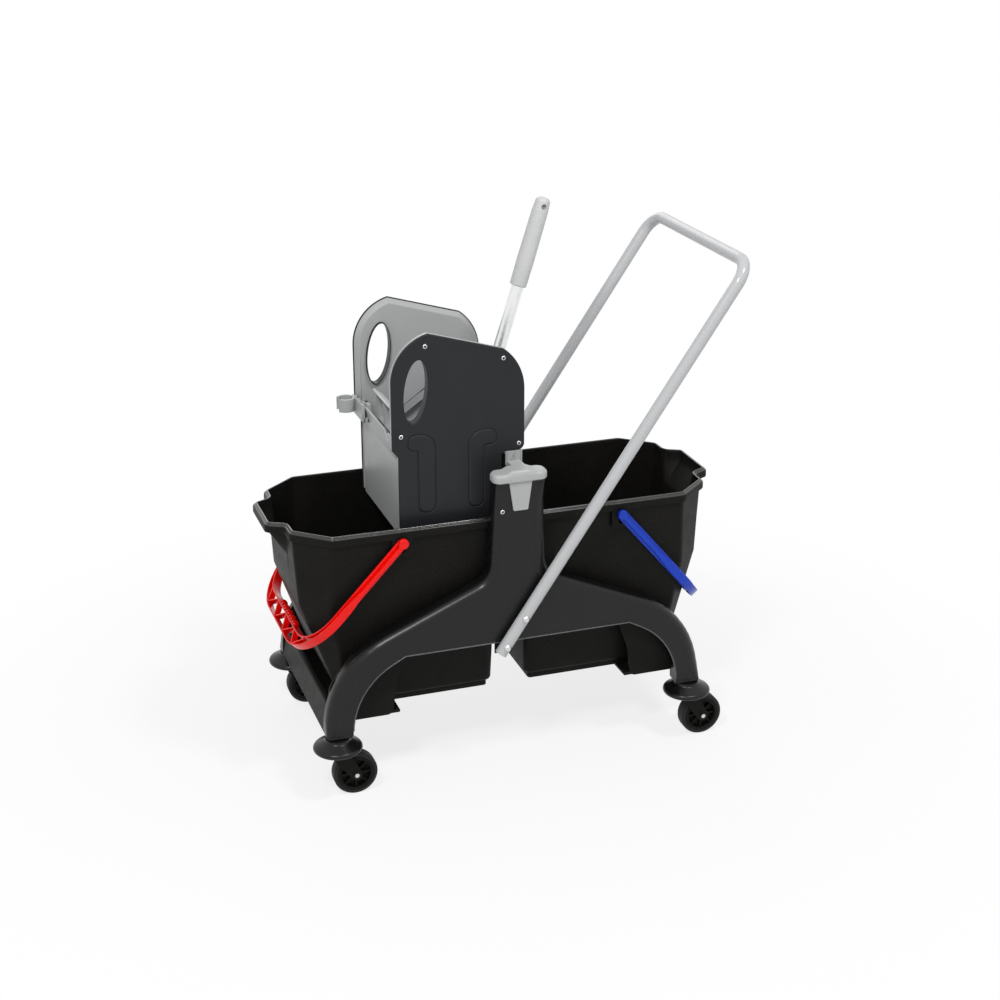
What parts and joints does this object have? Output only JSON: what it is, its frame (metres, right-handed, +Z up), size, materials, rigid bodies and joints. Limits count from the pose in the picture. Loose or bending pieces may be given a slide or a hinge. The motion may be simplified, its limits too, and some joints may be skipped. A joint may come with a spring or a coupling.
{
  "type": "double mop bucket trolley",
  "caption": "Double mop bucket trolley on swivel casters with a lever press wringer, swing bails and a sloping push bar.",
  "frame": {"origin": "on the floor under the middle of the carrier", "axes": "+X along the trolley towards the push bar's cross piece, +Y across it to the far side, +Z up"},
  "size_m": [0.8411, 0.4476, 1.0018],
  "materials": {
    "slate_plastic": "satin",
    "black_plastic": "satin",
    "mid_grey_plastic": "satin",
    "light_grey_plastic": "satin",
    "painted_tube": "gloss paint",
    "bright_aluminium": "polished",
    "bright_steel": "zinc plated",
    "red_plastic": "gloss",
    "blue_plastic": "gloss",
    "tyre_rubber": "matte"
  },
  "bodies": {
    "carrier": {"side_frame_near": "slate_plastic", "side_frame_far": "slate_plastic", "end_cradle_left": "black_plastic", "end_cradle_right": "black_plastic", "tower_cap_near": "light_grey_plastic", "tower_cap_far": "light_grey_plastic", "push_bar": "painted_tube", "bar_bolts": "bright_steel", "tower_screws": "bright_steel", "bumper_near_left": "black_plastic", "bumper_near_right": "black_plastic", "bumper_far_left": "black_plastic", "bumper_far_right": "black_plastic"},
    "caster_near_left": {"fork_near_left": "black_plastic", "axle_near_left": "bright_steel"},
    "roller_near_left": {"wheel_near_left": "black_plastic", "tyre_near_left": "tyre_rubber"},
    "caster_near_right": {"fork_near_right": "black_plastic", "axle_near_right": "bright_steel"},
    "roller_near_right": {"wheel_near_right": "black_plastic", "tyre_near_right": "tyre_rubber"},
    "caster_far_left": {"fork_far_left": "black_plastic", "axle_far_left": "bright_steel"},
    "roller_far_left": {"wheel_far_left": "black_plastic", "tyre_far_left": "tyre_rubber"},
    "caster_far_right": {"fork_far_right": "black_plastic", "axle_far_right": "bright_steel"},
    "roller_far_right": {"wheel_far_right": "black_plastic", "tyre_far_right": "tyre_rubber"},
    "bucket_left": {"bucket_left": "black_plastic"},
    "bucket_right": {"bucket_right": "black_plastic"},
    "bail_left": {"bail_left": "red_plastic"},
    "bail_right": {"bail_right": "blue_plastic"},
    "wringer": {"side_panel_near": "slate_plastic", "side_panel_far": "slate_plastic", "liner_near": "mid_grey_plastic", "liner_far": "mid_grey_plastic", "front_wall": "mid_grey_plastic", "rear_wall": "mid_grey_plastic", "sieve_floor": "mid_grey_plastic", "mop_clip": "mid_grey_plastic", "hanger_bracket": "light_grey_plastic", "panel_screws": "bright_steel", "jaw_hinge_pin": "bright_steel", "return_spring": "bright_steel"},
    "lever": {"lever_shaft": "bright_steel", "crank_near": "bright_steel", "crank_far": "bright_steel", "lever_yoke": "slate_plastic", "lever_tube": "bright_aluminium", "lever_grip": "light_grey_plastic"},
    "jaw": {"press_jaw": "mid_grey_plastic", "jaw_pins": "bright_steel"},
    "links": {"pull_link_near": "bright_steel", "pull_link_far": "bright_steel"}
  },
  "joints": [
    {"name": "swivel_near_left", "type": "hinge", "parent": "carrier", "child": "caster_near_left", "pos_m": [-0.335, -0.18, 0.1], "axis": [0, 0, 1], "continuous": true},
    {"name": "spin_near_left", "type": "hinge", "parent": "caster_near_left", "child": "roller_near_left", "pos_m": [-0.3065, -0.18, 0.04], "axis": [0, 1, 0], "continuous": true},
    {"name": "swivel_near_right", "type": "hinge", "parent": "carrier", "child": "caster_near_right", "pos_m": [0.335, -0.18, 0.1], "axis": [0, 0, 1], "continuous": true},
    {"name": "spin_near_right", "type": "hinge", "parent": "caster_near_right", "child": "roller_near_right", "pos_m": [0.3635, -0.18, 0.04], "axis": [0, 1, 0], "continuous": true},
    {"name": "swivel_far_left", "type": "hinge", "parent": "carrier", "child": "caster_far_left", "pos_m": [-0.335, 0.18, 0.1], "axis": [0, 0, 1], "continuous": true},
    {"name": "spin_far_left", "type": "hinge", "parent": "caster_far_left", "child": "roller_far_left", "pos_m": [-0.3065, 0.18, 0.04], "axis": [0, 1, 0], "continuous": true},
    {"name": "swivel_far_right", "type": "hinge", "parent": "carrier", "child": "caster_far_right", "pos_m": [0.335, 0.18, 0.1], "axis": [0, 0, 1], "continuous": true},
    {"name": "spin_far_right", "type": "hinge", "parent": "caster_far_right", "child": "roller_far_right", "pos_m": [0.3635, 0.18, 0.04], "axis": [0, 1, 0], "continuous": true},
    {"name": "bucket_left_lift", "type": "slide", "parent": "carrier", "child": "bucket_left", "axis": [0, 0, 1], "range_m": [0, 0.3]},
    {"name": "bucket_right_lift", "type": "slide", "parent": "carrier", "child": "bucket_right", "axis": [0.3, 0, 0.9539], "range_m": [0, 0.3]},
    {"name": "wringer_lift", "type": "slide", "parent": "bucket_left", "child": "wringer", "axis": [0, 0, 1], "range_m": [0, 0.3]},
    {"name": "bail_left_swing", "type": "hinge", "parent": "bucket_left", "child": "bail_left", "pos_m": [-0.203, 0, 0.456], "axis": [0, 1, 0], "range_deg": [0, 125]},
    {"name": "bail_right_swing", "type": "hinge", "parent": "bucket_right", "child": "bail_right", "pos_m": [0.203, 0, 0.456], "axis": [0, -1, 0], "range_deg": [0, 165]},
    {"name": "lever_press", "type": "hinge", "parent": "wringer", "child": "lever", "pos_m": [-0.0016, 0, 0.6438], "axis": [0, 1, 0], "range_deg": [0, 60], "stiffness_Nm_per_rad": 1, "springref_deg": -34.38},
    {"name": "jaw_swing", "type": "hinge", "parent": "wringer", "child": "jaw", "pos_m": [-0.1548, 0, 0.4758], "axis": [0, 1, 0], "range_deg": [0, 25.2]},
    {"name": "link_swing", "type": "hinge", "parent": "jaw", "child": "links", "pos_m": [-0.16097, 0, 0.57962], "axis": [0, 1, 0], "range_deg": [-30, 0]}
  ],
  "couplings": [
    {"joint": "jaw_swing", "follows": "lever_press", "ratio": 0.42},
    {"joint": "link_swing", "follows": "lever_press", "ratio": -0.5}
  ]
}
